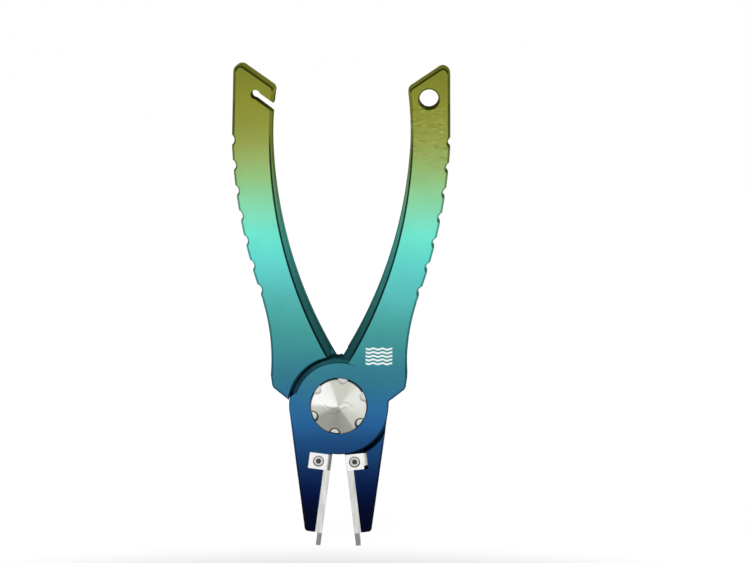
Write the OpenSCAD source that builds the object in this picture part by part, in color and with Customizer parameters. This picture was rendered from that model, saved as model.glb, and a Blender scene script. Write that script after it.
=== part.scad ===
// Long-nose aluminium fishing pliers with steel jaw inserts and replaceable line cutters.
//
// Frame: the origin is at the centre of the overall box, with the pivot 37.2 mm below it. The
// pliers stand upright: handles point to +Z, jaws to -Z, the pivot axis is Y, half way through
// the thickness lies Y = 0, and the front face looks to -Y.
// Both levers share one blank: half a turn about Z gives the other, but for rear_set. Each has
// half of the hub thickness, so the two hub discs lie on each other, and full-thickness
// handle and jaw. The model stands in its spring-open pose.
//
// Flat drawings: a part is drawn in its own plane, X across and Y up, and extruded in
// depth. Depth grows towards the front, and stand() turns the drawing upright. The front
// lever has its handle at +X and the left jaw.

/* [Levers] */
// Overall thickness of both levers
thick = 12; // [11:0.5:13]
// Radius of the hub disc on the jaw side
hub_r = 19.1; // [18.9:0.1:19.2]
// Radius of the hub disc where it faces the other handle
hub_top_r = 18.2; // [17.2:0.1:18.3]
// Radius of the hollow in a handle that clears the other lever's hub
hollow_top_r = 19.3; // [19.3:0.1:19.6]
// Radius of the hollow in a jaw that clears the other lever's hub
hollow_jaw_r = 20.6; // [20.3:0.1:21]
// Gap between the two hub discs, filled by the centre washer
disc_gap = 0.4; // [0.3:0.05:0.6]
// Lean of a handle away from its jaw's closing face, in degrees
lean = 0.7; // [0.5:0.1:0.9]
// How much less the rear lever's handle leans, in degrees
rear_set = 0.37; // [0:0.01:0.4]

/* [Handles] */
// Bow radius of the inner edge of a handle
inner_r = 172; // [165:1:180]
// Bow radius of the outer edge of a handle at the grip
outer_r = 200; // [195:1:205]
// Radius of the waist between grip and shoulder
waist_r = 79; // [76:1:82]
// Height of the inner corner at the handle end above the pivot
inner_corner_z = 124; // [122:0.5:126]
// Slope of the cut handle end, in degrees
end_slope = 42; // [40:0.5:44]
// Corner radius at the peak of a handle end
peak_r = 2.7; // [2:0.1:3.2]
// Width of the bevel along the inner edge
inner_bevel = 1.7; // [1:0.1:2]
// Width of the bevel along the outer edge
outer_bevel = 0.8; // [0.4:0.1:1.2]
// Width of the bevel along the handle end
end_bevel = 0.9; // [0.8:0.1:1.5]
// Depth of the small step at the inner side of the wide bevels
bevel_step = 0.3; // [0.1:0.05:0.5]

/* [Finger scallops] */
// Number of scallops along each outer edge
scallop_n = 7; // [5:1:7]
// Height of the lowest scallop above the pivot
scallop_z0 = 48.5; // [46:0.1:49]
// Distance between scallops
scallop_pitch = 9.65; // [9:0.05:9.8]
// Radius of a scallop
scallop_r = 2.45; // [2:0.05:3]
// Depth of a scallop
scallop_depth = 1.05; // [0.8:0.05:1.5]

/* [Lanyard hole and line slot] */
// Radius of the lanyard hole in the front lever
lanyard_r = 3.6; // [3:0.1:4]
// Rim bevel of the lanyard hole
lanyard_bevel = 0.6; // [0.3:0.1:0.8]
// Width of the line slot in the rear lever
slot_w = 2.9; // [2.5:0.1:3.2]

/* [Jaws] */
// Full taper angle of a jaw's outer edge to its closing face, in degrees
jaw_taper = 15; // [14.5:0.1:15.5]
// Length of a jaw below the pivot
jaw_len = 50.9; // [49:0.1:51]
// Thickness taken off each face at the jaw tip
jaw_thin = 1.1; // [0.5:0.1:1.5]
// Width of a steel jaw insert
insert_w = 2.7; // [2.4:0.1:3]
// Depth of a jaw insert, front to back
insert_deep = 9.4; // [8:0.1:9.6]
// Distance from pivot to the end of the insert's gripping face
insert_len = 51.3; // [50.8:0.1:52]
// Distance from pivot to the end of the narrow nib
nib_len = 56.4; // [54:0.1:58]
// Width of the nib
nib_w = 1.8; // [1.4:0.1:2]
// Pitch of the gripping teeth
tooth_pitch = 0.85; // [0.7:0.05:1.2]
// Depth of the gripping teeth
tooth_deep = 0.28; // [0.15:0.01:0.35]

/* [Cutters] */
// Height of a cutter block
cutter_h = 6.3; // [6:0.1:6.4]
// Thickness of a cutter block
cutter_t = 3.2; // [2.8:0.1:3.2]
// Width of the left cutter's ground bevel
cutter_bevel = 1.45; // [1:0.05:1.8]
// Distance from pivot to the top of a cutter block
cutter_top = 19.45; // [19.4:0.05:19.7]

/* [Pivot] */
// Radius of the pivot cap
cap_r = 10.7; // [10.5:0.1:11.1]
// How far the rim of the cap stands above the hub's face
cap_rise = 1.2; // [0.45:0.05:1.3]
// Height of the cap's turned cone
cap_cone = 0.55; // [0.3:0.05:0.8]
// Number of spanner notches in the cap
notch_n = 6; // [4:1:8]
// Radius of a spanner notch
notch_r = 1.9; // [1.5:0.1:2.1]
// Radius of the bearing sleeve
sleeve_r = 5; // [4.8:0.1:5]
// Running clearance between sleeve and bushings
run_gap = 0.05; // [0.03:0.01:0.08]
// Wire diameter of the return spring
wire_d = 0.9; // [0.7:0.05:0.9]

/* [Motion] */
// Opening angle between the two jaws at rest, in degrees
open_deg = 14; // [13:0.5:15]

/* [Hidden] */
$fn = 96;
BIG_FN = 256;
half = thick / 2;
half_gap = disc_gap / 2;
beyond = half + 1;                       // depth of cutters that run out past a face
pivot_z = -37.2;                         // height of the pivot in the finished frame
hair = 0.02;                             // fit clearance, or overlap of a cutter
bevel_rise = 0.8;                        // depth of an edge bevel for each mm of width

function polar(r, a) = r * [cos(a), sin(a)];
// x on the right-hand side of a circle at height y
function circle_x(centre, r, y) = centre[0] + sqrt(r * r - pow(y - centre[1], 2));
// centre of a rounding; bisector points into the corner, whose angle is twice half_angle
function rounding_centre(corner, r, bisector, half_angle) =
    corner + polar(r / sin(half_angle), bisector);

// Handle's inner edge: a bow that is tighter above tighten_y
inner_c = [-158.6, 88];
tighten_y = 100;
tighten_a = asin((tighten_y - inner_c[1]) / inner_r);
tight_r = 115;
tight_c = [circle_x(inner_c, inner_r, tighten_y), tighten_y] - polar(tight_r, tighten_a);
inner_edge_bevel = 0.2;
// the wide inner bevel is cut with its own bow, so that it grows wider towards the crotch
bevel_c = inner_c + [inner_bevel - 0.2, -4.3];

// Handle's outer edge: straight top, grip bow, waist, shoulder
outer_c = [28.5 - outer_r, 87.5];
waist_c = [22.75 + waist_r, 31];
top_p = [27, 110];                       // the straight top starts here
top_dir = [-0.15, 1] / norm([-0.15, 1]);
shoulder_slope = 46;
shoulder_p = [22.04, 7.8];               // a point on the shoulder's slope
shoulder_dir = polar(1, shoulder_slope);
shoulder_r = 3;
shoulder_x = 24.4;                       // outermost point of the shoulder
shoulder_a = (shoulder_slope - 90) / 2;  // direction in which the shoulder's corner points
shoulder_c = let (x = shoulder_x - shoulder_r)
    [x, shoulder_p[1] + (shoulder_r + shoulder_dir[1] * (x - shoulder_p[0])) / shoulder_dir[0]];

// Handle end: a slope from the inner corner up to the peak
inner_corner = [circle_x(tight_c, tight_r, inner_corner_z), inner_corner_z];
end_dir = polar(1, end_slope);
// the end line meets the outer edge line here
peak = let (d = top_p - inner_corner,
        t = (d[0] * top_dir[1] - d[1] * top_dir[0])
            / (end_dir[0] * top_dir[1] - end_dir[1] * top_dir[0]))
    inner_corner + t * end_dir;
peak_half = (atan2(top_dir[1], top_dir[0]) - end_slope) / 2;
peak_bisector = 180 + end_slope + peak_half;
peak_c = rounding_centre(peak, peak_r, peak_bisector, peak_half);
corner_r = 2.5;                          // rounding of the inner corner
corner_edge = 270 + asin((inner_corner_z - tight_c[1]) / tight_r);
corner_half = (end_slope + 360 - corner_edge) / 2;
corner_bisector = corner_edge + corner_half;
corner_c = rounding_centre(inner_corner, corner_r, corner_bisector, corner_half);

// Rough handle, x and y; its edges are cut afterwards
ROUGH_HANDLE = [[-3.5, 8], [-3.5, 20], [6, 45], [9, 60], [11, 80], [9, 105],
    inner_corner - 3 * end_dir, peak + 3 * end_dir,
    [32, 115], [33, 90], [30, 50], [27, 10], [16, 0], [2, 4]];

// Part of the hub that has the wider jaw-side radius, x and y
HUB_JAW_SIDE = [[-25, -25], [25, -25], [25, 5], [10, 5], [-16.9, 2.6], [-18.7, 0.9],
    [-19.6, -0.4], [-25, -0.4]];

// Jaw's outer line: tangent to the hub disc
jaw_start = polar(hub_r, 180 + jaw_taper);
jaw_dir = [sin(jaw_taper), -cos(jaw_taper)];
jaw_knee = 24;                           // the faces taper below this distance from the pivot
jaw_tip_r = 1.3;

lanyard_c = [17.2, 121.4];
slot_c = [16.6, 122.2];                  // centre of the slot's round end
slot_to = [8, 114.1];                    // the slot runs out here

// Steel parts, in the jaw's own frame: x = 0 is the closing face
face_gap = 0.05;
insert_back = -(insert_w + face_gap);
seat_x = insert_back - 0.03;
left_cutter_x = [-8.85, -0.05];          // from its outer side to its edge
right_cutter_x = [-6.9, -0.05];          // the full-height block
right_step_x = -8.45;                    // outer side of the right cutter's lower step
cutter_bottom = cutter_top + cutter_h;
cutter_mid = cutter_top + cutter_h / 2;
left_screw = [-4.95, -cutter_mid];
right_screw = [-3.5, -cutter_mid];
cutter_front = half - 0.2;
cutter_back = cutter_front - cutter_t;
foot_front = cutter_back - hair;         // the insert's foot lies behind the cutter
foot_t = 3.1;
pocket_floor = foot_front - foot_t - hair;
cutter_screw_r = 1.2;
screw_passage_r = 1.35;                  // screw hole through cutter and foot
dowel_ys = [-31, -45.5];
dowel_r = 0.75;
insert_screw_y = -38;
insert_screw_seat = -7.2;                // x of the seat under the screw's head
first_tooth_y = -28.2;

// Pivot stack, in depth
bore_floor = 3.6;                        // floor of the counterbores
bore_r = cap_r + 0.2;
flange_in = 4;                           // inner face of both flanges
shank_r = 2.5;
bush_r = 6.4;
washer_bore_r = sleeve_r + 0.15;
coil_r = 8.9;
coil_depth = 1.42;                       // depth of the first and last coil's centre
pocket_r = [7.4, 10.4];                  // inner and outer radius of the spring pocket
pocket_depth = 2;
turns = 3;
spring_a = 190;                          // angle of the spring's ends
leg = 9;
leg_slot_w = 1.3;
stop_r = 13.6;                           // distance of the stop pin from the pivot
stop_pin_r = 1.2;
stop_slot_r = stop_pin_r + 0.15;
stop_slot_floor = -2.9;
stop_a = 263;                            // angle of the stop pin at rest
stop_slack = 0.35;                       // play at both ends of the stop slot, in degrees
notch_a = 22;                            // angle of the first spanner notch

// ---------- placing ----------
module at_pivot() { translate([0, 0, pivot_z]) children(); }
module stand() { at_pivot() rotate([90, 0, 0]) children(); }
// place what is drawn in a jaw's own frame on the front or the rear lever
module front_pose() { at_pivot() rotate([0, open_deg / 2, 0]) rotate([90, 0, 0]) children(); }
module rear_pose() {
    at_pivot() rotate([0, -open_deg / 2, 0]) rotate([90, 0, 0]) mirror([1, 0, 0]) children();
}
module flip_depth() { mirror([0, 0, 1]) children(); }
module both_faces() {
    children();
    flip_depth() children();
}

// ---------- simple bodies and cutters ----------
// rod along the depth, from depth back to depth front
module rod(r, back, front, at = [0, 0]) {
    translate([at[0], at[1], back]) cylinder(r = r, h = front - back);
}
// rod across the drawing, towards +X
module cross_rod(x, y, r, length) {
    translate([x, y, 0]) rotate([0, 90, 0]) cylinder(r = r, h = length);
}
module hex_socket(flats, start, length) {
    translate([0, 0, start]) cylinder(d = flats / cos(30), h = length, $fn = 6);
}
module slab(x0, x1, y0, y1, back, front) {
    translate([x0, y0, back]) cube([x1 - x0, y1 - y0, front - back]);
}
// solid disc with bevelled rims
module puck(r, back, front, back_bevel, front_bevel, at = [0, 0]) {
    translate([at[0], at[1], 0]) rotate_extrude()
        polygon([[0, back], [r - back_bevel, back], [r, back + back_bevel * bevel_rise],
            [r, front - front_bevel * bevel_rise], [r - front_bevel, front], [0, front]]);
}

// Section of an edge cutter, across and depth: it fills from far to edge and bevels both
// faces of the metal, which lies on the given side (1 or -1) of the edge
function edge_section(far, edge, bevel, side) =
    let (run_out = edge + side * (bevel + 1 / bevel_rise), top = half - bevel * bevel_rise)
    [[far, -beyond], [run_out, -beyond], [edge, -top], [edge, top], [run_out, beyond],
        [far, beyond]];
// the same with a small square step before the bevel; edge at 0, metal at +
function stepped_section(far, bevel, step) =
    let (face = half - step, top = face - bevel * bevel_rise)
    [[far, -beyond], [bevel, -beyond], [bevel, -face], [0, -top], [0, top], [bevel, face],
        [bevel, beyond], [far, beyond]];
function square_section(far) = [[far, -beyond], [0, -beyond], [0, beyond], [far, beyond]];

// removes everything to the right of a line through start
module line_cut(start, dir, before, after, bevel, step = 0, far = 30) {
    translate([start[0], start[1], 0]) rotate([0, 0, atan2(dir[1], dir[0])])
        translate([-before, 0, 0]) rotate([90, 0, 90]) linear_extrude(before + after)
            polygon(bevel == 0 ? square_section(-far)
                : step == 0 ? edge_section(-far, 0, bevel, 1)
                : stepped_section(-far, bevel, step));
}
// turns a section about a centre, from angle a0 to a1
module arc_cut(centre, a0, a1, section) {
    translate([centre[0], centre[1], 0]) rotate([0, 0, a0])
        rotate_extrude(angle = a1 - a0, $fn = BIG_FN) polygon(section);
}
// the metal is outside the circle; w is the width of the cut ring
module hollow_arc(centre, r, bevel, a0, a1, w = 20) {
    arc_cut(centre, a0, a1, edge_section(r - w, r, bevel, 1));
}
// the metal is inside the circle
module bow_cut(centre, r, bevel, a0, a1, w = 30) {
    arc_cut(centre, a0, a1, edge_section(r + w, r, bevel, -1));
}
// full disc; the metal is outside it
module hollow_cut(centre, r, bevel) {
    translate([centre[0], centre[1], 0]) rotate_extrude($fn = BIG_FN)
        polygon(edge_section(0, r, bevel, 1));
}
// cuts a corner off square, where a rounding of radius r takes over
module chord(corner, r, bisector, half_angle) {
    translate([corner[0], corner[1], -beyond]) rotate([0, 0, bisector])
        translate([-20, -20, 0])
            cube([20 + r / tan(half_angle) * cos(half_angle), 40, 2 * beyond]);
}
// front bevel along a straight edge whose face drops away at a slope; the metal is on the left
module edge_bevel(start, dir, length, slope, bevel) {
    translate([start[0], start[1], half]) rotate([0, 0, atan2(dir[1], dir[0])])
        rotate([0, slope, 0]) rotate([45, 0, 0]) translate([-0.6, -4, -bevel / sqrt(2)])
            cube([length, 8, 4]);
}

// ---------- handle ----------
// front half of the wide inner bevel: a cone that leaves a square step
module inner_bevel_cut() {
    floor = half - bevel_step;
    arc_cut(bevel_c, -24, 20, [[inner_r - 12, beyond], [inner_r - 12, floor - 10],
        [inner_r, floor], [inner_r, beyond]]);
}
// rough handle with its inner edge cut
module handle_inner_side() {
    difference() {
        difference() {
            difference() {
                translate([0, 0, -half]) linear_extrude(thick) polygon(ROUGH_HANDLE);
                hollow_arc(inner_c, inner_r, inner_edge_bevel, -24, tighten_a);
            }
            hollow_arc(tight_c, tight_r + 0.02, inner_edge_bevel, tighten_a - 0.6, 30);
        }
        both_faces() inner_bevel_cut();
    }
}
// then grip, waist, straight top and shoulder are cut, one after the other
module handle_sides() {
    difference() {
        difference() {
            difference() {
                difference() {
                    handle_inner_side();
                    bow_cut(outer_c, outer_r, outer_bevel, -12.6, 5.4);
                }
                hollow_arc(waist_c, waist_r, outer_bevel, 169, 192);
            }
            line_cut(top_p, top_dir, 4.3, 34, outer_bevel);
        }
        line_cut([shoulder_x, 12], [0, 1], 12, 3.2, outer_bevel * 0.9, far = 8);
        line_cut(shoulder_p, shoulder_dir, 14, 8, outer_bevel, far = 12);
    }
}
module scallops() {
    for (i = [0 : scallop_n - 1])
        let (y = scallop_z0 + i * scallop_pitch,
            x = circle_x(outer_c, outer_r, y),
            outward = ([x, y] - outer_c) / outer_r)
        hollow_cut([x, y] + (scallop_r - scallop_depth) * outward, scallop_r,
            outer_bevel * 0.7);
}
module handle_rounding(centre, r) {
    puck(r + 0.01, -half, half, outer_bevel, outer_bevel, centre);
}
// handle with all its edges cut, full thickness, its foot left rough inside the hub
module handle() {
    difference() {
        difference() {
            difference() {
                handle_sides();
                line_cut(inner_corner, -end_dir, 30, 20, end_bevel, bevel_step);
            }
            scallops();
        }
        chord(peak, peak_r, peak_bisector, peak_half);
        chord(inner_corner, corner_r, corner_bisector, corner_half);
        translate([shoulder_c[0], shoulder_c[1], -beyond]) rotate([0, 0, shoulder_a])
            translate([shoulder_r * cos(shoulder_a), -8, 0]) cube([9, 16, 2 * beyond]);
    }
    handle_rounding(peak_c, peak_r);
    handle_rounding(corner_c, corner_r);
    handle_rounding(shoulder_c, shoulder_r);
}

// ---------- hub and jaw ----------
// hub disc of a lever; other_hub_room() trims it to the front half
module hub() {
    puck(hub_top_r, -1, half, 0, 1.4);
    intersection() {
        puck(hub_r, -1, half, 0, 0.5);
        translate([0, 0, -2]) linear_extrude(half + 3) polygon(HUB_JAW_SIDE);
    }
}
// jaw of a lever, its closing side left rough
module jaw() {
    slope = atan(jaw_thin / (jaw_len - jaw_knee));
    to_knee = (jaw_knee + jaw_start[1]) / -jaw_dir[1];
    to_tip = (jaw_len + jaw_start[1]) / -jaw_dir[1];
    tip = jaw_start + to_tip * jaw_dir;  // outer corner of the tip
    tip_half = (90 + jaw_taper) / 2;
    tip_c = rounding_centre(tip, jaw_tip_r, tip_half, tip_half);
    difference() {
        difference() {
            union() {
                difference() {
                    difference() {
                        translate([0, 0, -half]) linear_extrude(thick)
                            polygon([[-17, jaw_start[1]], [-14, 0], [-3, -12], [0, -15],
                                [0, -jaw_len], [-14, -jaw_len], [-25, -20],
                                [-25, jaw_start[1]]]);
                        line_cut(jaw_start, jaw_dir, 4, 60, 0, far = 20);
                    }
                    chord(tip, jaw_tip_r, tip_half, tip_half);
                }
                puck(jaw_tip_r + 0.01, -half, half, 0, 0, tip_c);
            }
            // the faces taper towards the tip
            both_faces() translate([-30, -jaw_knee, half]) rotate([slope, 0, 0])
                translate([0, -40, 0]) cube([40, 40, 4]);
        }
        both_faces() {
            edge_bevel(jaw_start, jaw_dir, to_knee, 0, outer_bevel);
            edge_bevel(jaw_start + to_knee * jaw_dir, jaw_dir, 40,
                atan(tan(slope) * cos(jaw_taper)), outer_bevel);
        }
    }
}
// rear-half hollow with a bevelled rim
module hub_hollow(r, rim) {
    rod(r, -beyond, half_gap);
    translate([0, 0, -half - hair]) cylinder(r1 = r + rim, r2 = r, h = rim);
}
// room for the other lever's disc: one radius below the pivot, another above it
module other_hub_room() {
    difference() {
        union() hub_hollow(hollow_jaw_r, 0.4);
        translate([-30, 0, -half - 2]) cube([60, 30, thick]);
    }
    difference() {
        union() hub_hollow(hollow_top_r, 0.5);
        translate([-30, -30, -half - 2]) cube([60, 30 - hair, thick]);
    }
}
// room for the root of the other lever's handle when the jaws close, in the rear half
module other_root_room() {
    difference() {
        translate([-inner_c[0], inner_c[1], -beyond]) rotate([0, 0, 198])
            rotate_extrude(angle = 9, $fn = BIG_FN) translate([inner_r - 0.35, 0])
                square([8, beyond + half_gap - 0.02]);
        rod(hollow_top_r - 0.2, -half - 2, half);
    }
}
// lever before its holes and pockets, hub in the front half
module blank(set = 0) {
    difference() {
        difference() {
            union() {
                rotate([0, 0, set]) handle();
                hub();
                jaw();
            }
            other_hub_room();
        }
        other_root_room();
    }
}

// ---------- levers ----------
// bushing seat, counterbore for a flange, seal groove, spring pocket and leg slot of a disc;
// the leg slot runs from the coil to +y or -y, by leg_side, before the turn to spring_a
module hub_bores(leg_side) {
    rod(bush_r + hair, 0, beyond);
    rod(bore_r, bore_floor, beyond);
    translate([0, 0, half - 0.15]) cylinder(r1 = bore_r, r2 = bore_r + 0.25, h = 0.25);
    difference() {
        rod(9.9, 3, bore_floor + 0.1);
        rod(8.5, 2.9, bore_floor + 0.2);
    }
    difference() {
        rod(pocket_r[1], 0, pocket_depth);
        rod(pocket_r[0], -1, pocket_depth + 1);
    }
    slot_len = leg + 0.4;
    rotate([0, 0, spring_a])
        translate([coil_r - leg_slot_w / 2, leg_side > 0 ? 0 : -slot_len, 0])
            cube([leg_slot_w, slot_len, pocket_depth]);
}
// what a jaw's steel parts need, drawn in the jaw's own frame
module jaw_pockets(outer_x, screw) {
    line_cut([seat_x, -40], [0, 1], 20, 20.59, 0.4, far = 20);
    slab(outer_x - 0.08, 5, -(cutter_bottom + 0.06), -(cutter_top - 0.04), pocket_floor,
        beyond);
    rod(cutter_screw_r + hair, pocket_floor - 4.2, pocket_floor + 1, screw);
    for (y = dowel_ys) cross_rod(-5.3, y, dowel_r + hair, 4);
    cross_rod(insert_screw_seat - 8.8, insert_screw_y, 1.98, 8.8);
    cross_rod(-8, insert_screw_y, 1.1, 8);
}
module lanyard_hole() {
    rod(lanyard_r, -beyond, beyond, lanyard_c);
    both_faces() translate([lanyard_c[0], lanyard_c[1], half - lanyard_bevel])
        cylinder(r1 = lanyard_r, r2 = lanyard_r + lanyard_bevel + 0.1, h = lanyard_bevel + 0.1);
}
// slot that runs in from the inner edge, with a round end
module line_slot() {
    run = slot_to - slot_c;
    rod(slot_w / 2 + 0.3, -beyond, beyond, slot_c);
    translate([slot_c[0], slot_c[1], -beyond]) rotate([0, 0, atan2(run[1], run[0])])
        translate([0, -slot_w / 2, 0]) cube([norm(run), slot_w, 2 * beyond]);
}
// curved slot for the stop pin
module stop_slot() {
    start_a = stop_a - stop_slack;
    end_a = stop_a + open_deg + stop_slack;
    rotate([0, 0, start_a]) translate([0, 0, stop_slot_floor])
        rotate_extrude(angle = open_deg + 2 * stop_slack)
            translate([stop_r - stop_slot_r, 0]) square([2 * stop_slot_r, 3.5]);
    for (a = [start_a, end_a]) rod(stop_slot_r, stop_slot_floor, 0.5, polar(stop_r, a));
}
module front_lever() {
    color("mediumturquoise") stand() difference() {
        rotate([0, 0, -open_deg / 2]) difference() {
            rotate([0, 0, -lean]) difference() {
                blank();
                lanyard_hole();
            }
            jaw_pockets(left_cutter_x[0], left_screw);
        }
        hub_bores(1);
        rod(stop_pin_r + hair, 0, 3, polar(stop_r, stop_a));
    }
}
module rear_lever() {
    color("darkcyan") stand() difference() {
        mirror([1, 0, 0]) rotate([0, 0, -open_deg / 2]) difference() {
            rotate([0, 0, -lean]) difference() {
                flip_depth() blank(rear_set);
                rotate([0, 0, rear_set]) line_slot();
            }
            jaw_pockets(right_step_x, right_screw);
        }
        flip_depth() hub_bores(-1);
        stop_slot();
    }
}

// ---------- pivot ----------
// front cap with spanner notches and the threaded shank that clamps the pivot together
module pivot_bolt() {
    rim = half + cap_rise;
    color("gainsboro") stand() {
        difference() {
            rotate_extrude($fn = BIG_FN) polygon([[0, flange_in], [cap_r, flange_in],
                [cap_r, rim - 0.3], [cap_r - 0.3, rim], [0, rim + cap_cone]]);
            for (i = [0 : notch_n - 1]) rotate([0, 0, notch_a + i * 360 / notch_n])
                rod(notch_r, half - 0.4, half + 3, [cap_r, 0]);
        }
        rod(shank_r, -3.1, flange_in + 0.5);
    }
}
// rear flange and bearing sleeve in one piece, with a hexagon socket
module pivot_nut() {
    color("silver") stand() difference() {
        union() {
            rotate_extrude($fn = BIG_FN) polygon([[0, -half + 0.1], [cap_r - 0.4, -half + 0.1],
                [cap_r, -half + 0.5], [cap_r, -flange_in], [0, -flange_in]]);
            rod(sleeve_r, -flange_in - 0.5, flange_in - 0.04);
        }
        rod(shank_r + hair, -3.4, flange_in + 1);
        hex_socket(5, -beyond, 2.9);
    }
}
module bushing() {
    difference() {
        rod(bush_r, half_gap + 0.01, bore_floor - 0.01);
        rod(sleeve_r + run_gap, 0, half);
    }
}
module front_bushing() { color("darkgoldenrod") stand() bushing(); }
module rear_bushing() { color("goldenrod") stand() flip_depth() bushing(); }
module washer(r, back, front) {
    difference() {
        rod(r, back, front);
        rod(washer_bore_r, back - 1, front + 1);
    }
}
module flange_washer() { washer(8.2, bore_floor + 0.01, flange_in - 0.01); }
module front_washer() { color("peru") stand() flange_washer(); }
module centre_washer() { color("peru") stand() washer(7.2, -half_gap + 0.01, half_gap - 0.01); }
module rear_washer() { color("peru") stand() flip_depth() flange_washer(); }
module o_ring() {
    translate([0, 0, 3.5]) rotate_extrude() translate([9.2, 0]) circle(r = 0.48, $fn = 32);
}
module front_seal() { color("dimgray") stand() o_ring(); }
module rear_seal() { color("dimgray") stand() flip_depth() o_ring(); }

// Torsion spring: a coil between two straight legs, one leg lying in each lever.
// Stations along the wire: angle, distance along the tangent, depth
function spring_stations(steps) = concat(
    [[spring_a, leg, coil_depth]],
    [for (i = [0 : steps])
        [spring_a - i * 360 * turns / steps, 0, coil_depth * (1 - 2 * i / steps)]],
    [[spring_a, -leg, -coil_depth]]);
// points around the wire at a station
function wire_ring(station, sides) = [for (k = [0 : sides - 1])
    let (a = station[0], along = station[1], turn = k * 360 / sides,
        r = coil_r + wire_d / 2 * cos(turn))
    [r * cos(a) - along * sin(a), r * sin(a) + along * cos(a),
        station[2] + wire_d / 2 * sin(turn)]];
module return_spring() {
    sides = 8;
    stations = spring_stations(turns * 24);
    last = len(stations) - 1;
    points = [for (station = stations) each wire_ring(station, sides)];
    quads = [for (i = [0 : last - 1]) for (k = [0 : sides - 1]) let (next = (k + 1) % sides)
        [i * sides + k, i * sides + next, (i + 1) * sides + next, (i + 1) * sides + k]];
    first_cap = [for (k = [0 : sides - 1]) sides - 1 - k];
    last_cap = [for (k = [0 : sides - 1]) last * sides + k];
    color("slategray") stand()
        polyhedron(points = points, faces = concat([first_cap], quads, [last_cap]));
}
module stop_pin() {
    at = polar(stop_r, stop_a);
    color("lightsteelblue") stand() translate([at[0], at[1], 0])
        rotate_extrude() polygon([[0, -2.7], [stop_pin_r - 0.3, -2.7], [stop_pin_r, -2.4],
            [stop_pin_r, 2.9], [0, 2.9]]);
}

// ---------- jaw inserts, drawn in the jaw's own frame ----------
// gripping part, root and foot behind the cutter, and nib
module insert_body(outer_x) {
    side = insert_deep / 2;
    slab(insert_back, -face_gap, -insert_len, -cutter_bottom - 0.08, -side, side);
    slab(insert_back, -face_gap, -cutter_bottom - 1, -cutter_top, -side, foot_front);
    slab(outer_x, insert_back + 1, -cutter_bottom, -cutter_top, foot_front - foot_t,
        foot_front);
    slab(-(nib_w + face_gap), -face_gap, -nib_len, -insert_len + 1, -side + 1.7, side - 1.7);
}
// bevels on the shoulders above the nib, on the outer side and both faces
module shoulder_bevels() {
    reach = (insert_w - nib_w - 0.1) / sqrt(2);
    translate([insert_back, -insert_len, -10]) rotate([0, 0, -45])
        translate([-2, -2.1, 0]) cube([2.05 + reach, 2.1 + reach, 20]);
    both_faces() translate([-10, -insert_len, insert_deep / 2]) rotate([45, 0, 0])
        translate([0, -1.2, -0.35]) cube([12, 4.2, 4]);
}
module tooth_grooves() {
    side = tooth_deep * sqrt(2);
    for (y = [first_tooth_y : -tooth_pitch : -insert_len + 0.9])
        translate([-face_gap, y, -10]) rotate([0, 0, 45])
            translate([-side / 2, -side / 2, 0]) cube([side, side, 20]);
}
module insert(outer_x, screw) {
    difference() {
        union() insert_body(outer_x);
        shoulder_bevels();
        tooth_grooves();
        rod(screw_passage_r, -10, 10, screw);
        for (y = dowel_ys) cross_rod(-4, y, dowel_r + hair, 3);
        cross_rod(-4, insert_screw_y, 1.02, 3.1);
    }
}
module left_jaw_insert() {
    color("lightgray") front_pose() insert(left_cutter_x[0], left_screw);
}
module right_jaw_insert() {
    color("lightgray") rear_pose() insert(right_step_x, right_screw);
}

// ---------- cutters, drawn in the jaw's own frame ----------
// profile of a cutter across its width, in x and depth, pushed along its height
module cutter_prism(profile, y0, y1) {
    translate([0, y1, 0]) rotate([90, 0, 0]) linear_extrude(y1 - y0) polygon(profile);
}
module cutter_holes(screw) {
    rod(screw_passage_r, 0, 10, screw);
    rod(2.15, cutter_front - 1.95, 10, screw);
}
// left cutter: a knife, ground from the front and from behind
module left_cutter() {
    outer = left_cutter_x[0];
    edge = left_cutter_x[1];
    color("whitesmoke") front_pose() difference() {
        cutter_prism([[outer, cutter_back], [outer, cutter_front - 0.25],
            [outer + 0.25, cutter_front], [edge - cutter_bevel, cutter_front],
            [edge, cutter_back + 1.1], [edge, cutter_back + 0.9], [edge - 0.7, cutter_back]],
            -cutter_bottom, -cutter_top);
        cutter_holes(left_screw);
    }
}
// right cutter: a flat-edged block, with a lower step outside
module right_cutter() {
    outer = right_cutter_x[0];
    edge = right_cutter_x[1];
    color("whitesmoke") rear_pose() difference() {
        union() {
            cutter_prism([[outer, cutter_back], [outer, cutter_front],
                [edge - 0.15, cutter_front], [edge, cutter_front - 0.15],
                [edge, cutter_back]], -cutter_bottom, -cutter_top);
            cutter_prism([[right_step_x, cutter_back], [right_step_x, cutter_front - 0.9],
                [outer - 0.3, cutter_front - 0.15], [outer + 0.5, cutter_front - 0.15],
                [outer + 0.5, cutter_back]], -cutter_bottom + 1.35, -cutter_top - 0.05);
        }
        cutter_holes(right_screw);
    }
}

// ---------- screws and dowels, drawn in the jaw's own frame ----------
// socket-head screw, its axis along the depth
module cutter_screw(at) {
    end = pocket_floor - 3.9;
    head = cutter_front - 1.93;
    top = cutter_front - 0.1;
    head_r = 1.87;
    translate([at[0], at[1], 0]) difference() {
        rotate_extrude() polygon([[0, end], [cutter_screw_r - 0.3, end],
            [cutter_screw_r, end + 0.3], [cutter_screw_r, head], [head_r, head],
            [head_r, top - 0.15], [head_r - 0.15, top], [0, top]]);
        hex_socket(1.9, cutter_front - 1.3, 3);
    }
}
module left_cutter_screw() { color("silver") front_pose() cutter_screw(left_screw); }
module right_cutter_screw() { color("silver") rear_pose() cutter_screw(right_screw); }
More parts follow.
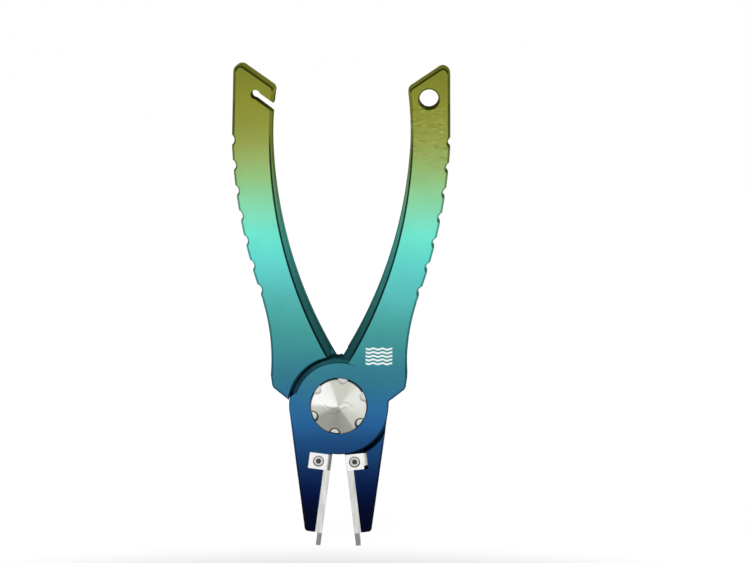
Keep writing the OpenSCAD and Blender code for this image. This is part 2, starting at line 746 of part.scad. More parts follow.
// screw that holds the middle of an insert, driven in from the jaw's outer edge
module insert_screw() {
    translate([insert_screw_seat - hair, insert_screw_y, 0]) rotate([0, 90, 0]) difference() {
        rotate_extrude() polygon([[0, -1.6], [1.55, -1.6], [1.8, -1.35], [1.8, 0], [0.98, 0],
            [0.98, 5.9], [0.7, 6.15], [0, 6.15]]);
        hex_socket(1.5, -3, 2.3);
    }
}
module left_insert_screw() { color("silver") front_pose() insert_screw(); }
module right_insert_screw() { color("silver") rear_pose() insert_screw(); }
module insert_dowels() {
    length = 4.05;
    bevel = 0.15;
    for (y = dowel_ys) translate([-5.2, y, 0]) rotate([0, 90, 0])
        rotate_extrude() polygon([[0, 0], [dowel_r - bevel, 0], [dowel_r, bevel],
            [dowel_r, length - bevel], [dowel_r - bevel, length], [0, length]]);
}
module left_insert_dowels() { color("gray") front_pose() insert_dowels(); }
module right_insert_dowels() { color("gray") rear_pose() insert_dowels(); }

front_lever();
rear_lever();
pivot_bolt();
pivot_nut();
front_bushing();
rear_bushing();
front_washer();
centre_washer();
rear_washer();
front_seal();
rear_seal();
return_spring();
stop_pin();
left_jaw_insert();
right_jaw_insert();
left_cutter();
right_cutter();
left_cutter_screw();
right_cutter_screw();
left_insert_screw();
right_insert_screw();
left_insert_dowels();
right_insert_dowels();
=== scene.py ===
import math

import bpy
import bmesh
from mathutils import Matrix, Vector

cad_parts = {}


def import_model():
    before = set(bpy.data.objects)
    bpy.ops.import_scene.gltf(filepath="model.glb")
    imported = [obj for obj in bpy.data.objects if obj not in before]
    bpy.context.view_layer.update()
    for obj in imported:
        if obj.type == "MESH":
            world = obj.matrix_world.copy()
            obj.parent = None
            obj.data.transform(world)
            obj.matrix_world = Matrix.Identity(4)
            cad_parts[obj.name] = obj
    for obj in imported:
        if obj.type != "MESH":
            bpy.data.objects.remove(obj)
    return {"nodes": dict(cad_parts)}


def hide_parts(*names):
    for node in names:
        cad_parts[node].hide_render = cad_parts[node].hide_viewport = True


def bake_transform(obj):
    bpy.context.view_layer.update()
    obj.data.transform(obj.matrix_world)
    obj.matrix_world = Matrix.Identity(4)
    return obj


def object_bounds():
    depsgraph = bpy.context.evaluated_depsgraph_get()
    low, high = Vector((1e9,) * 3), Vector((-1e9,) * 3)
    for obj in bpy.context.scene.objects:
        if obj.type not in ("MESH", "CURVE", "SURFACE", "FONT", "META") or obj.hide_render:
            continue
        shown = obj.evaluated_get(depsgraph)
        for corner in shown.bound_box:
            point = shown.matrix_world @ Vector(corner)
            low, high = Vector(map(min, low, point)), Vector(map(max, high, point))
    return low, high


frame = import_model()
CAD_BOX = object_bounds()
PIVOT_Z = -0.0372
FLOOR_GAP = 0.0002    # between the lowest point of the tool and the floor
FLOOR_Z = CAD_BOX[0].z - FLOOR_GAP


# ---------------------------------------------------------------- colours
def linear(level):
    """An sRGB level from 0 to 255 as linear light."""
    level = level / 255.0
    return level / 12.92 if level <= 0.04045 else ((level + 0.055) / 1.055) ** 2.4


def srgb(code):
    return tuple(linear(int(code[i:i + 2], 16)) for i in (0, 2, 4)) + (1.0,)


def srgb_grey(level, warm=0.0):
    """A grey from an sRGB level; warm takes away a little red and more blue."""
    light = linear(level)
    return (light * (1 - 0.02 * warm), light, light * (1 - 0.12 * warm), 1)


def grey(light):
    return (light, light, light, 1)


BLACK, WHITE = grey(0), grey(1)


# ---------------------------------------------------------------- node graphs
class Signal:
    """The output of a node. Arithmetic on it adds math nodes to its graph."""

    def __init__(self, graph, socket):
        self.graph = graph
        self.socket = socket

    def math(self, operation, *others):
        return self.graph.math(operation, self, *others)

    def __add__(self, other):
        return self.math("ADD", other)

    def __sub__(self, other):
        return self.math("SUBTRACT", other)

    def __rsub__(self, other):
        return self.graph.math("SUBTRACT", other, self)

    def __mul__(self, other):
        return self.math("MULTIPLY", other)

    def __truediv__(self, other):
        return self.math("DIVIDE", other)

    def __abs__(self):
        return self.math("ABSOLUTE")

    def times_plus(self, factor, addend):
        return self.math("MULTIPLY_ADD", factor, addend)

    def max(self, other):
        return self.math("MAXIMUM", other)

    def rise(self, lo, hi, kind="SMOOTHSTEP"):
        """0 below lo, 1 above hi."""
        return self.graph.node("ShaderNodeMapRange",
                               {"Value": self, "From Min": lo, "From Max": hi},
                               interpolation_type=kind)

    def fall(self, lo, hi):
        """1 below lo, 0 above hi."""
        return 1.0 - self.rise(lo, hi)

    def between(self, lo, hi, soft):
        """1 from lo to hi and 0 outside, with each edge blurred by soft to either side."""
        return self.rise(lo - soft, lo + soft) * self.fall(hi - soft, hi + soft)

    def split(self):
        node = self.graph.node("ShaderNodeSeparateXYZ", {0: self}).socket.node
        return [Signal(self.graph, socket) for socket in node.outputs]

    def noise(self, scale, detail=2.0, rough=0.5):
        return self.graph.node("ShaderNodeTexNoise", {
            "Vector": self, "Scale": scale, "Detail": detail, "Roughness": rough})

    def mapped(self, scale, shift=(0, 0, 0), turn=(0, 0, 0)):
        return self.graph.node("ShaderNodeMapping", {
            "Vector": self, "Location": shift, "Rotation": turn, "Scale": scale})

    def ramp(self, stops):
        """Colours at (position, colour) stops."""
        result = self.graph.node("ShaderNodeValToRGB", {0: self})
        elements = result.socket.node.color_ramp.elements
        while len(elements) > 1:
            elements.remove(elements[-1])
        elements[0].position, elements[0].color = stops[0]
        for position, colour in stops[1:]:
            elements.new(position).color = colour
        return result

    def bump(self, distance, strength, edge):
        """A normal from this height, over corners rounded to the radius edge (metres)."""
        rounded = self.graph.node("ShaderNodeBevel", {"Radius": edge}, samples=4)
        return self.graph.node("ShaderNodeBump", {
            "Strength": strength, "Distance": distance, "Height": self, "Normal": rounded})


class Graph:
    """Builds the node tree of a material or of the world."""

    def __init__(self, owner):
        owner.use_nodes = True
        self.tree = owner.node_tree
        self.tree.nodes.clear()

    def node(self, kind, inputs=None, output=0, **properties):
        made = self.tree.nodes.new(kind)
        for name, value in properties.items():
            setattr(made, name, value)
        for key, value in (inputs or {}).items():
            if isinstance(value, Signal):
                self.tree.links.new(value.socket, made.inputs[key])
            else:
                made.inputs[key].default_value = value
        return Signal(self, made.outputs[output])

    def math(self, operation, *values):
        return self.node("ShaderNodeMath", dict(enumerate(values)), operation=operation)

    def mix(self, amount, first, second, kind="MIX"):
        return self.node("ShaderNodeMix", {0: amount, 6: first, 7: second}, output=2,
                         data_type="RGBA", blend_type=kind)

    def coords(self):
        return self.node("ShaderNodeTexCoord", output="Object")

    def facing(self):
        """How squarely a surface faces the front or the back, in the part's own frame."""
        return abs(self.node("ShaderNodeTexCoord", output="Normal").split()[1])

    def camera_split(self, seen, others):
        """One shader for what the camera sees, another for all other rays."""
        is_camera = self.node("ShaderNodeLightPath", output="Is Camera Ray")
        return self.node("ShaderNodeMixShader", {0: is_camera, 1: others, 2: seen})

    def close(self, shader, kind="ShaderNodeOutputMaterial"):
        self.tree.links.new(shader.socket, self.tree.nodes.new(kind).inputs[0])

    def surface(self, **inputs):
        self.close(self.node("ShaderNodeBsdfPrincipled", {
            name.replace("_", " "): value for name, value in inputs.items()}))


def material(name):
    made = bpy.data.materials.new(name)
    return made, Graph(made)


def from_pivot(coords):
    """Object coordinates as millimetres from the pivot: x, depth towards the front, height."""
    x, y, z = coords.split()
    return x * 1000.0, y * -1000.0, z.times_plus(1000.0, -PIVOT_Z * 1000.0)


def length(across, up):
    return (across * across + up * up).math("SQRT")


# ---------------------------------------------------------------- anodised levers
# height from the pivot (mm), sRGB colour of the dye
FADE = [(-50, "060b20"), (-42, "070e29"), (-36, "091438"), (-31, "0c1f49"), (-26, "132d5a"),
        (-20, "1a3f6e"), (-14, "204c7c"), (-8, "295f93"), (-1, "2f6b9b"), (5, "327394"),
        (10, "36788c"), (15, "398090"), (22, "3f8f94"), (30, "479d99"), (38, "51aeab"),
        (46, "5bbfba"), (54, "62d0c8"), (60, "67dccd"), (66, "6ee2cb"), (73, "7edab8"),
        (80, "88cf9e"), (87, "90c080"), (94, "94b068"), (101, "939f50"), (108, "8d943f"),
        (117, "868932"), (125, "7d8130"), (132, "737a2f")]

# Lever drawing (mm): u across towards the handle's back, v up, leaning from the tool's axes.
FRONT_LEAN, REAR_LEAN = math.radians(7.7), math.radians(7.33)
BOW_RADIUS = 172.0
BOW_STEP_CENTRE = (-157.1, 83.7)
BOW_EDGE_CENTRE = (-158.6, 88.0)
END_ANGLE = math.radians(42)
END_WAY = (math.cos(END_ANGLE), math.sin(END_ANGLE))  # along the edge of the handle end
END_POINT = (8.71, 124.0)
BACK_WAY = (-0.148, 0.989)                            # up the handle's outer edge
BACK_POINT = (27.0, 110.0)
# radius, centre, the two directions that lead along the edges into the rounding
END_CORNERS = [
    (2.7, (21.05, 131.47), (END_WAY, BACK_WAY)),
    (2.5, (11.55, 123.19), ((-END_WAY[0], -END_WAY[1]), (-0.266, 0.964))),
]
# ny of a surface (1 = squarely front or back), brightness left on it
WALL_SHADE = [(0.0, grey(0.50)), (0.5, grey(0.50)), (0.74, grey(0.80)), (0.90, grey(1.0))]

# printed mark on the front face: left, right, bottom, top (mm)
MARK_LEFT, MARK_RIGHT, MARK_BOTTOM, MARK_TOP = 10.2, 20.4, 16.0, 23.1
MARK_PITCH = (MARK_TOP - MARK_BOTTOM) / 5
MARK_WAVELENGTH, MARK_SWING, MARK_BLUR = 3.5, 0.22, 0.06


def lever_drawing(x, z, rear):
    """Position in a lever's own drawing."""
    lean = REAR_LEAN if rear else FRONT_LEAN
    if rear:
        x = x * -1.0
    u = x * math.cos(lean) + z * -math.sin(lean)
    v = x * math.sin(lean) + z * math.cos(lean)
    return u, v


def from_circle(u, v, centre, radius):
    """Distance outwards from a circle's edge."""
    return length(u - centre[0], v - centre[1]) - radius


def from_handle_end(u, v):
    """Distance inwards from the edge of the handle end, round both its corners."""
    end = (u - END_POINT[0]) * END_WAY[1] + (v - END_POINT[1]) * -END_WAY[0]
    for radius, centre, ways in END_CORNERS:
        across, up = u - centre[0], v - centre[1]
        first, second = [(across * way[0] + up * way[1]).math("GREATER_THAN", 0.0)
                         for way in ways]
        in_corner = first * second
        rounded = from_circle(u, v, centre, radius) * -1.0
        end = in_corner * rounded + (1.0 - in_corner) * end
    return end


def step_lines(u, v, edge, end):
    """Painted shade: dark lines in the steps of the wide bevels, as an amount from 0 to 1."""
    bow = from_circle(u, v, BOW_STEP_CENTRE, BOW_RADIUS)
    low = v.fall(98.0, 112.0)        # the bow's lines fade out up the handle
    # across each line (mm from its circle), then along it from above the pivot
    bow_line = bow.between(-0.62, 0.06, soft=0.13) * (low * v.rise(16.0, 22.0))
    edge_line = edge.between(-0.5, 0.16, soft=0.1) * (low * v.rise(16.0, 22.0))
    back = (u - BACK_POINT[0]) * -BACK_WAY[1] + (v - BACK_POINT[1]) * BACK_WAY[0]
    end_line = end.between(0.60, 1.25, soft=0.13) * v.rise(120.0, 122.0)
    back_line = back.between(0.56, 1.0, soft=0.13) * v.between(106.0, 131.0, soft=1.5)
    end_line = end_line.max(back_line * 0.62)        # the back line is fainter
    return bow_line.max(edge_line * 0.75).max(end_line)


def lever_shade(graph, x, depth, z, rear):
    """Brightness left by the shade in steps, on steep walls and on deep floors, and how
    metallic the surface looks."""
    ny = graph.facing()
    u, v = lever_drawing(x, z, rear)
    flat = ny.rise(0.55, 0.7)
    edge = from_circle(u, v, BOW_EDGE_CENTRE, BOW_RADIUS)
    end = from_handle_end(u, v)
    lines = step_lines(u, v, edge, end) * flat
    wall = ny.ramp(WALL_SHADE)
    # floors far below the faces; the gap above the pivot gets more light than the one below
    radius = length(x, z)
    deep = abs(depth).fall(1.5, 4.2)
    ring = radius.between(18.0, 19.35, soft=0.15) * z.rise(-2.0, 4.0).times_plus(-0.35, 1.0)
    core = ring.max(radius.fall(16.9, 17.3))
    core = core.max(radius.rise(21.5, 22.0))
    # floors lose half their light, and 0.42 more where core is 1
    deep = deep * flat * core.times_plus(0.42, 0.50)
    # painted shade: a thin dark arc over the top of the pivot boss, fading out across the
    # handle's side
    rim = radius.between(16.62, 17.05, soft=0.1) * (z.rise(3.0, 7.0) * flat)
    rim = rim * u.fall(1.0, 6.0)
    lines = lines.max(rim * 0.6)
    # the bevel of the handle end catches the light from above
    wall = wall + ny.fall(0.85, 0.9) * (v.rise(119.0, 123.0) * end.fall(1.0, 1.5))
    # the narrow outer bevel stays dark, up to the handle end
    outer = edge.rise(5.0, 6.0) * ny.fall(0.88, 0.96)
    outer = outer * v.fall(119.0, 123.0)
    wall = wall * outer.times_plus(-0.42, 1.0)
    shade = wall * lines.times_plus(-0.86, 1.0) * deep.times_plus(-1.0, 1.0)
    # bevels and walls turn matte where they are seen at a glancing angle
    glance = graph.node("ShaderNodeLayerWeight", {0: 0.5}, output="Facing").rise(0.12, 0.45)
    return shade, 1.0 - glance * ny.fall(0.80, 0.92)


def scuff(coords, stretch, shift, turn, rough, cover):
    """Fine slanting streaks; cover is the span of noise over which they appear."""
    streaks = coords.mapped(stretch, shift, turn).noise(scale=1.0, detail=4, rough=rough)
    return streaks.rise(*cover)


def printed_mark(coords, x, depth, z):
    """Ink of five plain waves, one above the other, on the front face only."""
    wave = (x * (2 * math.pi / MARK_WAVELENGTH)).math("SINE") * MARK_SWING
    row = ((z + wave - MARK_BOTTOM) / MARK_PITCH).math("FRACT")
    ink = abs(row - 0.5).fall(0.23, 0.29)            # half the line's width, in rows
    for along, lo, hi in ((x, MARK_LEFT, MARK_RIGHT), (z, MARK_BOTTOM, MARK_TOP)):
        ink = ink * along.rise(lo - MARK_BLUR, lo + MARK_BLUR)
        ink = ink * along.fall(hi - MARK_BLUR, hi + MARK_BLUR)
    ink = ink * depth.rise(5.9, 5.95)
    worn = 1.0 - coords.noise(scale=900, detail=3).rise(0.6, 0.75) * 0.35
    return ink * worn


def anodised(name, rear):
    """Dyed lever: dark blue at the jaws, through teal, to olive at the handle end."""
    made, graph = material(name)
    coords = graph.coords()
    x, depth, z = from_pivot(coords)
    height = z + coords.noise(scale=22).times_plus(3.0, -1.5)    # the fade wanders by 1.5 mm
    lo, hi = FADE[0][0], FADE[-1][0]
    base = height.rise(lo, hi, "LINEAR").ramp(
        [((stop - lo) / (hi - lo), srgb(code)) for stop, code in FADE])
    # blasted and dyed skin, a touch uneven in depth of colour
    cloud = coords.noise(scale=60, detail=4, rough=0.6)
    base = graph.mix(1.0, base, cloud.ramp([(0.3, grey(0.93)), (0.7, grey(1.04))]), "MULTIPLY")
    grain = coords.noise(scale=5200, rough=0.6)
    # fine draw lines across the width, from the mill
    draw = coords.mapped((120, 40, 2600)).noise(scale=1.0, detail=3, rough=0.55)
    rough = cloud.times_plus(0.10, 0.27)
    rough = rough + draw.times_plus(0.06, -0.03)
    relief = draw.times_plus(0.35, grain * 0.5)
    metal = 1.0
    if not rear:
        # scuffs where the ring of a lanyard rubs, below the hole
        patch = z.rise(88, 100) * z.fall(113, 119)
        dark = scuff(coords, stretch=(260, 100, 1500), shift=(0, 0, 0), turn=(0, 0.12, 0),
                     rough=0.62, cover=(0.50, 0.66)) * patch
        pale = scuff(coords, stretch=(420, 100, 1900), shift=(3, 0, 7), turn=(0, -0.15, 0),
                     rough=0.6, cover=(0.54, 0.68)) * patch
        base = graph.mix(dark * 0.5, base, srgb("6a742e"))
        base = graph.mix(pale * 0.60, base, srgb("b0ba66"))
        rough = rough + pale * 0.12
        relief = relief + dark * -0.6
        # ink is white, barely metallic and rougher
        ink = printed_mark(coords, x, depth, z)
        base = graph.mix(ink, base, srgb("eef6f4"))
        metal = ink.times_plus(-0.9, 1.0)
        rough = ink.times_plus(0.2, rough)
    # painted shade in steps, on walls and on deep floors, and painted light on the handle end's
    # bevel, laid over the dye colour
    shade, gleam = lever_shade(graph, x, depth, z, rear)
    shade = graph.node("ShaderNodeCombineColor", {0: shade, 1: shade, 2: shade})
    base = graph.mix(1.0, base, shade, "MULTIPLY")
    graph.surface(Base_Color=base, Metallic=gleam * metal, Roughness=rough,
                  Normal=relief.bump(distance=0.000012, strength=0.7, edge=0.00016),
                  Specular_Tint=base, Specular_IOR_Level=gleam * 0.4)
    return made


# ---------------------------------------------------------------- turned pivot cap
# Brightness round the face, as it shows under two broad lights:
# fraction of a turn from the left (-x) by way of the bottom, grey
FACE_LIGHT = [(at, srgb_grey(level, warm)) for at, level, warm in (
    (0.0, 208, .8), (0.045, 190, 1), (0.07, 154, 1), (0.16, 152, 1), (0.23, 142, 1),
    (0.30, 152, 1), (0.345, 165, 1), (0.355, 196, .8), (0.43, 208, .7), (0.47, 222, .6),
    (0.55, 230, .5), (0.62, 228, .5), (0.655, 212, .7), (0.69, 202, .9), (0.79, 204, .9),
    (0.82, 236, .3), (0.90, 249, .1), (0.985, 249, .1), (1.0, 215, .6))]
RING_PITCH = 0.11                   # mm between turning marks
NOTCH_PITCH = math.pi / 3.0         # six spanner notches
FIRST_NOTCH = math.radians(22)
NOTCH_CIRCLE = 10.7                 # mm from the pivot to a notch's centre
ENGRAVED_LINES = ((0.5, -5.5, 5.6), (-1.6, -6.4, 3.6))    # height, left end, right end (mm)


def from_notch(radius, angle):
    """Distance from the centre of the nearest spanner notch."""
    turn = angle.times_plus(1 / NOTCH_PITCH, 0.5 - FIRST_NOTCH / NOTCH_PITCH)
    # 8 whole turns keep the value positive
    turn = ((turn + 8.0).math("FRACT") - 0.5) * NOTCH_PITCH
    return length(radius * turn.math("COSINE") - NOTCH_CIRCLE, radius * turn.math("SINE"))


def engraving(x, z):
    """A plain wave of two thin lines."""
    wave = (x * 0.62).math("SINE") * 1.3       # radians per mm, height in mm
    cuts = []
    for shift, left, right in ENGRAVED_LINES:
        off_line = abs(z - wave - shift)
        cuts.append(off_line.fall(0.06, 0.26) * x.between(left, right, soft=0.3))
    return cuts[0].max(cuts[1])


def turned(name):
    """Face-turned stainless steel: fine rings round the pivot, and a painted reflection of two
    broad lights in sectors, with streaks that fan out from it.
    """
    made, graph = material(name)
    x, depth, z = from_pivot(graph.coords())
    radius = length(x, z)
    angle = z.math("ARCTAN2", x)
    rings = (radius * (2 * math.pi / RING_PITCH)).math("SINE").times_plus(0.5, 0.5)
    # noise drawn out round the pivot, and noise drawn out along the radius
    polar = graph.node("ShaderNodeCombineXYZ", {0: radius * 14.0, 1: angle * 0.7})
    uneven = polar.noise(scale=1.0, detail=3, rough=0.6)
    fan = graph.node("ShaderNodeCombineXYZ", {
        0: angle.math("COSINE") * 2.2, 1: angle.math("SINE") * 2.2, 2: radius * 0.05})
    rays = fan.noise(scale=1.6, detail=3, rough=0.6)
    face = depth.rise(6.95, 7.12)
    ny = graph.facing()
    turn = angle.times_plus(1 / (2 * math.pi), 0.5)
    # painted reflection: the brightness of two broad lights round the face, streaked along the
    # radius
    painted_reflection = (turn + rays.times_plus(0.06, -0.03)).ramp(FACE_LIGHT)
    base = graph.mix(face, (0.72, 0.72, 0.69, 1), painted_reflection)
    base = graph.mix(uneven * 0.16, base, (0.42, 0.42, 0.39, 1))
    # spanner notches: painted light on the floors and painted shade along the lips, of the
    # lower three only
    notch = from_notch(radius, angle)
    lower = z.fall(-2.5, 3.0)
    lip = notch.between(1.7, 2.3, soft=0.12) * face * lower
    hollow = depth.between(5.2, 6.2, soft=0.1) * ny.rise(0.6, 0.8)
    lip = lip.max(hollow * lower * notch.rise(1.3, 1.75))
    cut = engraving(x, z) * face * 0.5
    base = graph.mix(hollow * lower * 0.75, base, (0.62, 0.63, 0.56, 1))
    base = graph.mix(lip * 0.93, base, (0.02, 0.022, 0.025, 1))
    base = graph.mix(cut, base, (0.16, 0.16, 0.15, 1))
    # painted shade on the side walls, those near the centre less so in the upper half
    side = ny.fall(0.3, 0.65)
    inner = radius.fall(10.3, 10.6)
    side = side * inner.times_plus(lower.times_plus(0.45, -0.45), 0.8)
    base = graph.mix(side, base, grey(0.10))
    relief = uneven.times_plus(0.7, rings * 0.5)
    graph.surface(Base_Color=base, Metallic=1.0, Roughness=uneven.times_plus(0.12, 0.3),
                  Normal=relief.bump(distance=0.000006, strength=0.5, edge=0.00012),
                  Tangent=graph.node("ShaderNodeTangent", direction_type="RADIAL", axis="Y"),
                  Anisotropic=0.35)
    return made


# ---------------------------------------------------------------- steel and the rest
def steel(name, base, dark, stretch, rough, edge=0.00010, nib=False, pit=None, pit_shade=0.9,
          slope=None, cavity=False):
    """Ground or drawn steel, scratched by noise of the scales in stretch along x, y, z.

    nib darkens the jaw tips. Faces below the depths in pit get painted shade, by pit_shade.
    Slanting faces between the depths in slope look less metallic. cavity paints shade into
    recesses.
    """
    made, graph = material(name)
    coords = graph.coords()
    scratch = coords.mapped(stretch).noise(scale=1.0, detail=4, rough=0.6)
    stain = coords.noise(scale=240, detail=4, rough=0.6)
    colour = graph.mix(scratch.rise(0.32, 0.68), dark, base)
    colour = graph.mix(stain.rise(0.52, 0.8) * 0.35, colour, dark)
    if pit:
        _, depth, height = from_pivot(coords)
        low = depth.fall(*pit)
        if nib:
            colour = graph.mix(height.fall(-51.3, -50.7), colour, srgb_grey(136, .4))
            low = low * height.rise(-28.0, -26.5)    # painted shade on recessed faces only on the upper part
        low = low * graph.facing().rise(0.3, 0.6)
        # painted shade on recessed faces
        colour = graph.mix(low * pit_shade, colour, BLACK)
    if cavity:
        # painted shade: recesses darkened by ambient occlusion
        is_open = graph.node("ShaderNodeAmbientOcclusion", {"Distance": 0.0012}, output="AO",
                             samples=8).rise(0.25, 0.9)
        colour = graph.mix(is_open, grey(0.02), colour)
    shine = 1.0
    if slope:
        slanting = graph.facing().between(0.4, 0.97, soft=0.02)
        shine = (slanting * depth.between(*slope, soft=0.05)).times_plus(-0.85, 1.0)
    relief = scratch.times_plus(1.0, coords.noise(scale=4000) * 0.4)
    graph.surface(Base_Color=colour, Metallic=shine,
                  Roughness=scratch.times_plus(0.16, rough - 0.08),
                  Normal=relief.bump(distance=0.000008, strength=0.5, edge=edge))
    return made


def plain(name, base, other, rough, scale, metal=0.0):
    """Plastic, bronze or rubber: a mottled colour, uneven gloss and a fine grain."""
    made, graph = material(name)
    coords = graph.coords()
    mottle = coords.noise(scale, detail=4, rough=0.6)
    grain = coords.noise(scale * 9, detail=3)
    graph.surface(Base_Color=graph.mix(mottle.rise(0.35, 0.65), srgb(base), srgb(other)),
                  Metallic=metal, Roughness=mottle.times_plus(0.2, rough - 0.1),
                  Normal=grain.bump(distance=0.00001, strength=0.5, edge=0.0001))
    return made


CUTTER = dict(base=srgb_grey(246), dark=srgb_grey(236, .2), stretch=(300, 300, 2400),
              rough=0.24, edge=0.00008)

LEVER_FRONT = anodised("anodised_front", rear=False)
LEVER_REAR = anodised("anodised_rear", rear=True)
CAP = turned("turned_cap")
INSERT = steel("insert_steel", srgb_grey(226, .3), srgb_grey(194, .5), stretch=(900, 900, 60),
               rough=0.32, nib=True, pit=(2.7, 3.4))
KNIFE = steel("knife_steel", **CUTTER, pit=(4.9, 5.72), pit_shade=0.68, slope=(3.9, 5.7))
ANVIL = steel("anvil_steel", **CUTTER, pit=(4.1, 4.8), pit_shade=0.94, slope=(4.9, 5.7))
SCREW = steel("screw_steel", srgb_grey(196, .3), srgb_grey(172, .5), stretch=(900, 900, 900),
              rough=0.25, cavity=True)
CUTTER_SCREW = steel("cutter_screw_steel", srgb_grey(212, .3), srgb_grey(190, .5),
                     stretch=(900, 900, 900), rough=0.25, pit=(4.6, 5.5), pit_shade=0.88)
PIN = steel("hard_pin", srgb_grey(150), srgb_grey(110), stretch=(400, 400, 2600), rough=0.28)
SPRING = steel("spring_wire", srgb_grey(190), srgb_grey(140), stretch=(1200, 300, 1200),
               rough=0.3)
BRONZE = plain("bronze", "a87c42", "8a6332", rough=0.35, scale=300, metal=1.0)
PLASTIC = plain("bearing_plastic", "d6d2c4", "c6c1b0", rough=0.5, scale=200)
SEAL = plain("seal_rubber", "1a1a1b", "26262a", rough=0.6, scale=400)

LOOK = {
    "front_lever": LEVER_FRONT, "rear_lever": LEVER_REAR, "pivot_bolt": CAP, "pivot_nut": CAP,
    "front_bushing": BRONZE, "rear_bushing": BRONZE, "front_washer": PLASTIC,
    "centre_washer": PLASTIC, "rear_washer": PLASTIC, "front_seal": SEAL, "rear_seal": SEAL,
    "return_spring": SPRING, "stop_pin": PIN, "left_jaw_insert": INSERT,
    "right_jaw_insert": INSERT, "left_cutter": KNIFE, "right_cutter": ANVIL,
    "left_cutter_screw": CUTTER_SCREW, "right_cutter_screw": CUTTER_SCREW,
    "left_insert_screw": SCREW, "right_insert_screw": SCREW,
    "left_insert_dowels": PIN, "right_insert_dowels": PIN,
}
for part_name, part in frame["nodes"].items():
    part.data.materials.clear()
    part.data.materials.append(LOOK[part_name])


def add_object(name, shape):
    """Turns a bmesh into an object in the scene."""
    mesh = bpy.data.meshes.new(name)
    shape.to_mesh(mesh)
    shape.free()
    made = bpy.data.objects.new(name, mesh)
    bpy.context.scene.collection.objects.link(made)
    return made


# ---------------------------------------------------------------- return spring
COIL_RADIUS, WIRE_RADIUS = 0.0089, 0.00045
COIL_TURNS, TURN_STEPS, WIRE_SIDES = 3, 48, 12
LEG_LENGTH, LEG_STEPS = 0.009, 6
LEG_ANGLE = math.radians(190)       # where both legs leave the coil
HALF_DEPTH = 0.00142                # from the middle of the coil to either leg


def coil_path():
    """Centre line of the wire: front leg, coil from front to back, rear leg."""
    def point(angle, y, along=0.0):
        """On the coil, or moved along its tangent."""
        return Vector((COIL_RADIUS * math.cos(angle) - along * math.sin(angle), y,
                       PIVOT_Z + COIL_RADIUS * math.sin(angle) + along * math.cos(angle)))

    steps = COIL_TURNS * TURN_STEPS
    path = [point(LEG_ANGLE, -HALF_DEPTH, LEG_LENGTH * (1 - i / LEG_STEPS))
            for i in range(LEG_STEPS + 1)]
    path += [point(LEG_ANGLE - 2 * math.pi * COIL_TURNS * i / steps,
                   -HALF_DEPTH * (1 - 2 * i / steps)) for i in range(1, steps + 1)]
    path += [point(LEG_ANGLE, HALF_DEPTH, -LEG_LENGTH * i / LEG_STEPS)
             for i in range(1, LEG_STEPS + 1)]
    return path


def spring_coil():
    """The spring as a coiled round wire between the two levers."""
    path = coil_path()
    shape = bmesh.new()
    rings = []
    for i, centre in enumerate(path):
        forward = (path[min(i + 1, len(path) - 1)] - path[max(i - 1, 0)]).normalized()
        side = forward.cross(Vector((0, 1, 0))).normalized()
        up = side.cross(forward).normalized()
        angles = [k * 2 * math.pi / WIRE_SIDES for k in range(WIRE_SIDES)]
        rings.append([shape.verts.new(centre + (side * math.cos(angle)
                                                + up * math.sin(angle)) * WIRE_RADIUS)
                      for angle in angles])
    for near, far in zip(rings, rings[1:]):
        for k in range(WIRE_SIDES):
            after = (k + 1) % WIRE_SIDES
            shape.faces.new((near[k], near[after], far[after], far[k]))
    shape.faces.new(list(reversed(rings[0])))
    shape.faces.new(rings[-1])
    bmesh.ops.recalc_face_normals(shape, faces=shape.faces)
    coil = add_object("spring_coil", shape)
    for face in coil.data.polygons:
        face.use_smooth = len(face.vertices) == 4    # the end caps stay flat
    coil.data.materials.append(SPRING)
    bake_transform(coil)
    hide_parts("return_spring")


spring_coil()

# ---------------------------------------------------------------- floor
FLOOR_RADIUS = 6.0
# painted shadow: centre and radii (m) of a soft grey patch on the floor in front of the tool
SHADOW_POOL_CENTRE = (0.014, -0.085)
SHADOW_POOL_RADII = (0.19, 0.085)


def floor_paper():
    """Glowing white paper with a painted soft grey shadow in front of the tool."""
    made, graph = material("floor_paper")
    position = graph.node("ShaderNodeNewGeometry", output="Position")
    x, y, _ = position.split()
    # painted shadow: a soft grey patch in front of the tool, its darkness varied by the paper's
    # grain
    shadow_pool = length((x + -SHADOW_POOL_CENTRE[0]) / SHADOW_POOL_RADII[0],
                  (y + -SHADOW_POOL_CENTRE[1]) / SHADOW_POOL_RADII[1]).fall(0.45, 1.05)
    paper = position.noise(scale=35, detail=3)
    glow = graph.mix(shadow_pool * paper.times_plus(0.02, 0.30), WHITE, BLACK)
    glowing = graph.node("ShaderNodeEmission", {"Color": glow, "Strength": 0.96})
    diffuse = graph.node("ShaderNodeBsdfDiffuse", {"Color": grey(0.10)})
    seen = graph.node("ShaderNodeAddShader", {0: glowing, 1: diffuse})
    # what the metal sees is the paper under the studio's full light
    full = graph.node("ShaderNodeEmission", {"Color": WHITE, "Strength": 1.0})
    graph.close(graph.camera_split(seen=seen, others=full))
    return made


def floor():
    shape = bmesh.new()
    bmesh.ops.create_circle(shape, cap_ends=True, segments=96, radius=FLOOR_RADIUS)
    disc = add_object("floor", shape)
    disc.location = (0, 0, FLOOR_Z)
    disc.data.materials.append(floor_paper())


floor()

# ---------------------------------------------------------------- light and camera
# how far a direction lies along the view axis (0 = square to it), light from there
TENT = [(0.0, grey(0.10)), (0.35, grey(0.10)), (0.62, grey(0.42)), (0.80, grey(1.0)),
        (1.0, grey(1.12))]
TENT_STRENGTH = 1.1


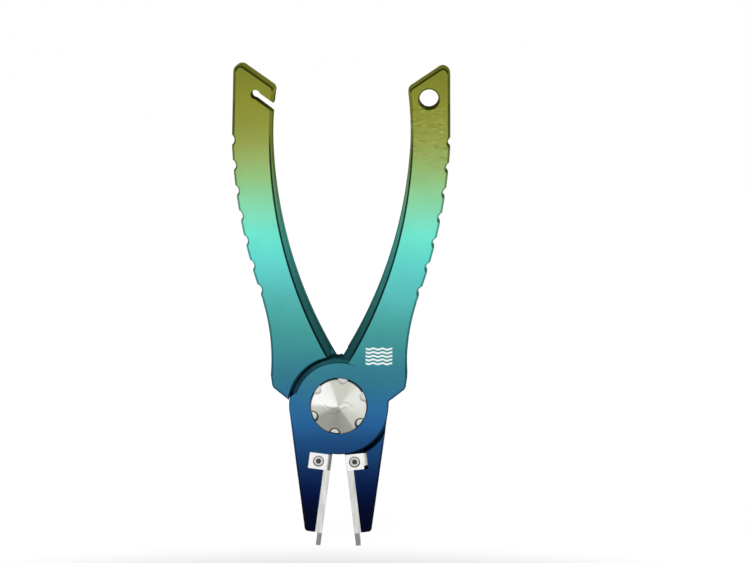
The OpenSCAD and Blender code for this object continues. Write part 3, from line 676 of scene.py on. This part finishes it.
def world():
    """White to the camera. The metal sees a broad soft box round the camera, with darkness
    at the sides, above and below it."""
    studio = bpy.data.worlds.new("studio")
    bpy.context.scene.world = studio
    graph = Graph(studio)
    along_view = abs(graph.node("ShaderNodeTexCoord", output="Camera").split()[2])
    tent = along_view.ramp(TENT) * TENT_STRENGTH
    lit = graph.node("ShaderNodeBackground", {"Color": WHITE, "Strength": tent})
    seen = graph.node("ShaderNodeBackground", {"Color": WHITE, "Strength": 1.0})
    graph.close(graph.camera_split(seen=seen, others=lit), "ShaderNodeOutputWorld")


world()


def area(name, place, size, power):
    """A square light aimed at the origin."""
    light = bpy.data.lights.new(name, "AREA")
    light.shape, light.size, light.energy = "SQUARE", size, power
    lamp = bpy.data.objects.new(name, light)
    lamp.location = place
    lamp.rotation_euler = (-Vector(place)).to_track_quat("-Z", "Y").to_euler()
    bpy.context.scene.collection.objects.link(lamp)


area("key", place=(-0.5, -0.9, 0.75), size=0.5, power=1.2)
area("back_fill", place=(0.5, 0.9, 0.7), size=0.6, power=1.2)

CAMERA_PLACE = Vector((0.03044, -0.9, 0.15234))
CAMERA_AIM = Vector((0.01344, 0.0, 0.01034))
CAMERA_ROLL = math.radians(0.45)
SENSOR_WIDTH, FOCAL_LENGTH = 36.0, 114.288    # mm


def camera():
    forward = (CAMERA_AIM - CAMERA_PLACE).normalized()
    level = forward.cross(Vector((0, 0, 1))).normalized()
    upright = level.cross(forward)
    cos, sin = math.cos(CAMERA_ROLL), math.sin(CAMERA_ROLL)
    right, up = level * cos + upright * sin, upright * cos - level * sin
    lens = bpy.data.cameras.new("camera")
    lens.sensor_width = SENSOR_WIDTH
    lens.lens = FOCAL_LENGTH
    lens.clip_start, lens.clip_end = 0.01, 50.0
    made = bpy.data.objects.new("camera", lens)
    rows = [(right[i], up[i], -forward[i], CAMERA_PLACE[i]) for i in range(3)]
    made.matrix_world = Matrix((*rows, (0, 0, 0, 1)))
    bpy.context.scene.collection.objects.link(made)
    bpy.context.scene.camera = made


camera()
bpy.context.scene.view_settings.view_transform = "Standard"
